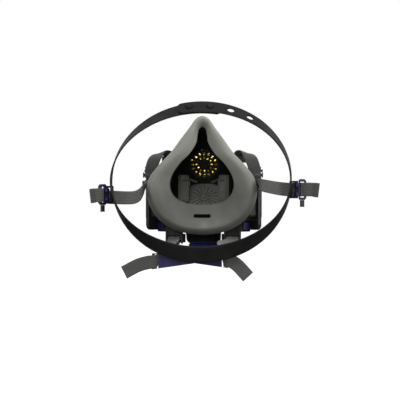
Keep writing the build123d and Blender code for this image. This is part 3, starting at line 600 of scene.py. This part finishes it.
rear_right = (
    rear_start
    + [
        ((55.0, -6, -7.9), (0.8, 0, -0.6)),
        ((57.4, 1, -9.6), (0.3, 0, -0.95)),
        ((59.6, 8, -10.4), (0.1, 0, -1)),
        ((63.0, 20, -11.4), UPRIGHT),
        ((68.2, 38, -12.8), UPRIGHT),
        ((73.0, 54, -14.0), UPRIGHT),
        ((77.5, 65, -14.8), UPRIGHT),
        (ear_point(EAR_RIGHT, -1.0, -4.8), UPRIGHT),
    ]
    + [(ear_point(EAR_RIGHT, u, v), UPRIGHT) for u, v in THREADING]
    + [(ear_point(EAR_RIGHT, 26.0, 3.8, 0.8), UPRIGHT)]
)
front = (
    under(HANGER_X, HANGER_BAR, (7.0, 1.8), (4.4, -0.2))
    + loop_round(HANGER_X, HANGER_BAR, -30, -255)
    + [
        ((37.0, -38, 22.4), (1, 0, -0.1)),
        ((40.0, -29, 23.8), (0.95, 0, -0.3)),
        ((44.5, -20, 22.5), (0.9, 0.1, -0.35)),
        ((49.0, -14.6, 16.5), (0.95, 0, -0.25)),
        ((52.0, -14.2, 8.5), LEVEL),
    ]
    + loop_round(GUIDE_X - 0.3, UPPER_BAR, 25, -215)
    + under(GUIDE_X - 0.3, UPPER_BAR, (-0.6, 4.2), (1.8, 8.2))
)
lower_left = (
    lower_start
    + [
        ((30.4, -19, -66.6), (1, 0, -0.1)),
        ((33.0, 4, -71.5), (0.9, 0, -0.45)),
        ((36.5, 28, -76.0), (0.35, 0, -0.93)),
        ((38.6, 48, -79.3), UPRIGHT),
        ((39.1, 56, -81.0), UPRIGHT),
        ((39.1, 64.4, -82.0), UPRIGHT),
        ((39.5, 68.2, -82.1), UPRIGHT),
        ((42.0, 69.9, -82.3), UPRIGHT),
        ((47.0, 69.9, -82.9), (0.08, 0, -1)),
        ((56.0, 69.0, -85.6), (0.2, 0, -1)),
        ((69.0, 68.0, -92.4), (0.1, 0, -1)),
    ]
)
lower_right = (
    lower_start
    + [
        ((28.6, -19, -66.2), (1, 0, -0.1)),
        ((22.0, 2, -68.5), (0.92, 0, -0.4)),
        ((20.0, 28, -73.5), (0.5, 0, -0.86)),
        ((22.4, 48, -77.4), UPRIGHT),
        ((23.4, 56, -79.4), UPRIGHT),
        ((23.5, 64.4, -80.4), UPRIGHT),
        ((23.9, 68.2, -80.4), UPRIGHT),
        ((26.2, 69.9, -80.5), (-0.05, 0, -1)),
        ((31.0, 69.9, -81.6), (-0.25, 0, -1)),
        ((37.0, 70.0, -86.0), (-0.5, 0, -0.9)),
        ((46.0, 71.0, -95.7), (0.0, 0, -1)),
    ]
)


def flipped(p):
    """The same point on the other side of the middle plane."""
    return (-p[0], p[1], p[2])


def mirrored(stations):
    return [(flipped(p), flipped(a)) for p, a in stations]


def strap(name, stations, body=None):
    made = strip(name, stations, WIDTH, THICK, body, ribs=RIBS, rib_depth=0.35, lanes=54)
    return paint(made, WEB)


def hem(name, stations, body):
    """A doubled and stitched end on a strap's tail, in darker webbing that is painted shade at the fold."""
    path = smooth_path(stations, 0.8)
    rows, length = [], 0.0
    for a, b in zip(path[::-1], path[-2::-1]):
        rows.append(a)
        length += (a[0] - b[0]).length
        if length > HEM_LENGTH:
            break
    made = strip(name, [(tuple(p), tuple(q)) for p, q in rows[::3]], WIDTH + 0.5, THICK + 1.3,
                 body, spacing=0.6, ribs=RIBS, rib_depth=0.2, lanes=36)
    return paint(made, SHADED_HEM_WEB)


def bending(obj):
    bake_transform(obj)


piece = strap("strap_rear_left", rear_left)
bending(piece)
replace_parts(piece, "rear_strap_left")
hem("strap_hem_left", rear_left, "slider_left")
piece = strap("strap_rear_right", mirrored(rear_right))
bending(piece)
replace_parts(piece, "rear_strap_right")
hem("strap_hem_right", mirrored(rear_right), "slider_right")
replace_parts(strap("strap_front_left", front, "mask"), "front_strap_left")
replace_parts(strap("strap_front_right", mirrored(front), "mask"), "front_strap_right")
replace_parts(strap("strap_neck_left", lower_left, "neck_strap"), "lower_strap_left", "neck_tail_left")
piece = strap("strap_neck_right", mirrored(lower_right))
bending(piece)
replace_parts(piece, "lower_strap_right", "neck_tail_right")

# ---------------------------------------------------------------- head cradle
CENTRE, A, B, LEAN = (-2.7, 80.0, -6.7), 82.0, 67.3, 12.0
BAND_WIDTH, BAND_THICK, STEP = 16.0, 1.5, 0.85
SNAP_FIRST, SNAP_PITCH, SNAP_HOLES, STUDS = 82.2, 13.6, 4, 2
HOLE_RADIUS, STUD_RADIUS, PIN_RADIUS, PIN_HALF = 3.4, 2.9, 1.3, 8
# The band runs from its first angle to its last, and its ends overlap across the crown.
BAND_FIRST, BAND_LAST, BAND_STATIONS, OVERLAP_EASE = 103.0, -285.0, 96, 50
# Degrees that the band's face turns towards +Y: everywhere, further at the crown, and at the nape.
TILT, CROWN_TILT, NAPE_TILT = 4, 39, 64


def cradle(degrees, lift=0.0):
    """Point, across and normal of the band at an angle round the head."""
    t = math.radians(degrees)
    s, c = math.sin(t), math.cos(t)
    point = Vector((CENTRE[0] + A * c, CENTRE[1] - LEAN * s, CENTRE[2] + B * s))
    tangent = Vector((-A * s, -LEAN * c, B * c)).normalized()
    radial = Vector((B * c, 0, A * s)).normalized()
    tilt = math.radians(TILT + (CROWN_TILT * s**1.5 if s > 0 else NAPE_TILT * s**2))
    normal = radial * math.cos(tilt) + Vector((0, 1, 0)) * math.sin(tilt)
    normal = (normal - tangent * normal.dot(tangent)).normalized()
    return point + normal * lift, tangent.cross(normal), normal


def build_cradle():
    """The crown band with its overlap, holes and studs, and the ear and pin at each side."""
    stations = []
    for i in range(BAND_STATIONS + 1):
        degrees = BAND_FIRST + (BAND_LAST - BAND_FIRST) * i / BAND_STATIONS
        if degrees > -90:
            lift = -STEP * min(1, max(0, degrees / OVERLAP_EASE))
        else:
            lift = STEP * min(1, max(0, (-180 - degrees) / OVERLAP_EASE))
        point, across, _ = cradle(degrees, lift)
        stations.append((tuple(point), tuple(across)))
    band = strip("cradle_band", stations, BAND_WIDTH, BAND_THICK, spacing=2.0, lanes=40)
    for i in range(SNAP_HOLES):
        point, _, normal = cradle(SNAP_FIRST + SNAP_PITCH * i, STEP)
        cut(band, cylinder("hole_tool", point - normal * 0.95, point + normal * 6, HOLE_RADIUS, 40))
    for degrees, lift in ((BAND_FIRST, -STEP), (BAND_LAST, STEP)):
        for side in (1, -1):
            point, across, normal = cradle(degrees, lift)
            tangent = across.cross(normal)
            corner = point + across * side * BAND_WIDTH / 2
            turn = Matrix((tangent, across, normal)).transposed()
            tilt = Matrix.Rotation(math.radians(45), 3, "Z")
            cut(band, block("corner_tool", corner, (4.6, 4.6, 1.8), turn @ tilt))
    paint(band, BAND)
    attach(band, "harness")
    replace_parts(band, "head_cradle")
    for i in range(STUDS):
        degrees = SNAP_FIRST + SNAP_PITCH * i
        point, _, normal = cradle(degrees)
        stud = cylinder(f"cradle_stud_{i}", point - normal * 0.5, point + normal * 2.6, STUD_RADIUS, 40)
        bevelled(stud, 0.6, 3)
        paint(stud, BAND)
        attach(stud, "harness")
    for label, which, sign in (("left", EAR_LEFT, 1), ("right", EAR_RIGHT, -1)):
        turn = Matrix.Rotation(math.radians(which[1]) * sign, 3, "Z")
        rows = [
            ((0.2, 0, 0), (2.6, 2.6, 16)), ((3.6, 0, 7.1), (4.0, 2.6, 1.8)),
            ((3.6, 0, -7.1), (4.0, 2.6, 1.8)),
        ]
        for k, (place, size) in enumerate(rows):
            p = ear_point(which, place[0], 0)
            p = Vector((sign * p[0], p[1], p[2] + place[2]))
            lug = block(f"cradle_ear_{label}_{k}", p, size, turn)
            bevelled(lug, 0.5, 3)
            paint(lug, BAND)
            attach(lug, "harness")
        p = ear_point(which, 5.5, 0)
        p = Vector((sign * p[0], p[1], p[2]))
        half = Vector((0, 0, PIN_HALF))
        pin = cylinder(f"cradle_pin_{label}", p - half, p + half, PIN_RADIUS)
        bevelled(pin, 0.3, 2)
        paint(pin, BAND)
        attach(pin, "harness")


build_cradle()


# ---------------------------------------------------------------- stage, light and camera
KEY_PLACE, KEY_AIM, KEY_SIZE, KEY_POWER = (0.2, 1.4, 0.45), (0, 0.05, 0.03), 0.7, 11
FILL_PLACE, FILL_AIM, FILL_SIZE, FILL_POWER = (-1.2, 0.7, 0.25), (0, 0.05, -0.02), 0.6, 9
FLOOR_REACH, FLOOR_Z = 6000, -420
# Camera: degrees round from the outer front, distance and target in metres, then millimetres.
CAMERA_TURN, CAMERA_REACH, CAMERA_TARGET = 183, 0.9, (0.002, 0, -0.025)
SENSOR, LENS = 36, 81


def light(name, place, aim, size, power):
    data = bpy.data.lights.new(name, "AREA")
    data.shape, data.size, data.energy = "SQUARE", size, power
    obj = bpy.data.objects.new(name, data)
    obj.location = place
    obj.rotation_euler = (Vector(aim) - Vector(place)).to_track_quat("-Z", "Y").to_euler()
    bpy.context.scene.collection.objects.link(obj)


def build_stage():
    """Pale floor, a sky that darkens below the horizon, two lights and the camera."""
    signs = ((-1, -1), (1, -1), (1, 1), (-1, 1))
    corners = [(x * FLOOR_REACH, y * FLOOR_REACH, FLOOR_Z) for x, y in signs]
    floor = mesh_object("floor", corners, [(0, 1, 2, 3)], smooth=False)
    material, tree, shader = new_material("floor_paint")
    tree.links.new(mixed(tree, noise(tree, 2, 2), (0.86, 0.86, 0.86), (0.9, 0.9, 0.9)),
                   shader.inputs["Base Color"])
    shader.inputs["Roughness"].default_value = 0.9
    shader.inputs["Emission Color"].default_value = (1, 1, 1, 1)
    shader.inputs["Emission Strength"].default_value = 0.25
    floor.data.materials.append(material)
    floor.visible_diffuse = floor.visible_glossy = False
    world = bpy.data.worlds.new("studio")
    world.use_nodes = True
    tree = world.node_tree
    place = tree.nodes.new("ShaderNodeTexCoord")
    split = tree.nodes.new("ShaderNodeSeparateXYZ")
    tree.links.new(place.outputs["Generated"], split.inputs[0])
    height = ranged(tree, split.outputs["Z"], 0, 1, (-0.22, -0.08))
    tree.links.new(mixed(tree, height, (0.05, 0.05, 0.05), (1, 1, 1), (0.0, 1.0)),
                   tree.nodes["Background"].inputs[0])
    scene = bpy.context.scene
    scene.world = world
    light("key", KEY_PLACE, KEY_AIM, KEY_SIZE, KEY_POWER)
    light("fill", FILL_PLACE, FILL_AIM, FILL_SIZE, FILL_POWER)
    scene.view_settings.view_transform = "Standard"
    scene.view_settings.look = "None"
    camera = bpy.data.objects.new("camera", bpy.data.cameras.new("camera"))
    scene.collection.objects.link(camera)
    angle = math.radians(CAMERA_TURN)
    target = Vector(CAMERA_TARGET)
    camera.location = target + Vector((math.sin(angle), -math.cos(angle), 0)) * CAMERA_REACH
    camera.rotation_euler = (target - camera.location).to_track_quat("-Z", "Y").to_euler()
    camera.data.sensor_width, camera.data.lens = SENSOR, LENS
    scene.camera = camera


build_stage()
